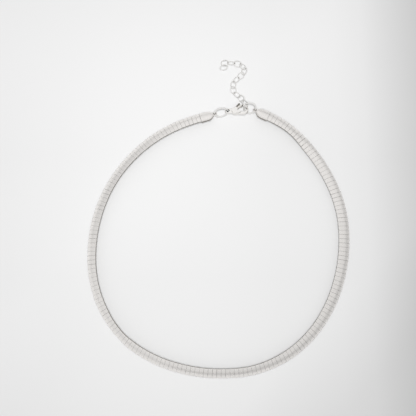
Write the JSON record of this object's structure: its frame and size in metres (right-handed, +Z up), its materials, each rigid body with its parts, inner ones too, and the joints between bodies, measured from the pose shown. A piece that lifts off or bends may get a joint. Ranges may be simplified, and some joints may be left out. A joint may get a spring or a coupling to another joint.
{
  "type": "omega choker necklace",
  "caption": "Silver-tone choker collar of narrow domed plates crimped on a flat woven strip, with end caps, jump rings, a lobster clasp with a sprung lever and an extender chain.",
  "frame": {"origin": "on the surface that the necklace lies on, under the middle of its box", "axes": "+Z up from the surface, +Y from the loop to the clasp and the extender chain, +X to the right"},
  "size_m": [0.1284, 0.1581, 0.0051],
  "materials": {
    "plates": "polished plated sheet",
    "woven_core": "woven wire, plated",
    "end_caps": "polished plated sheet",
    "jump_rings": "polished plated wire",
    "clasp": "cast, tumbled and plated",
    "lever": "cast, tumbled and plated",
    "chain": "polished plated wire"
  },
  "bodies": {
    "necklace": {"core": "woven_core", "plates_left": "plates", "plates_right": "plates", "end_cap_left": "end_caps", "end_cap_right": "end_caps", "ring_left": "jump_rings", "ring_right": "jump_rings", "clasp_body": "clasp", "link_01": "chain", "link_02": "chain", "link_03": "chain", "link_04": "chain", "link_05": "chain", "link_06": "chain", "link_07": "chain", "link_08": "chain", "link_09": "chain", "link_10": "chain", "link_11": "chain", "link_12": "chain", "link_13": "chain"},
    "lever": {"clasp_lever": "lever"}
  },
  "joints": [
    {"name": "lever_hinge", "type": "hinge", "parent": "necklace", "child": "lever", "pos_m": [0.00838, 0.05267, 0.00224], "axis": [-0.0239, 0.3412, 0.9397], "range_deg": [-16, 0], "stiffness_Nm_per_rad": 0.003}
  ]
}
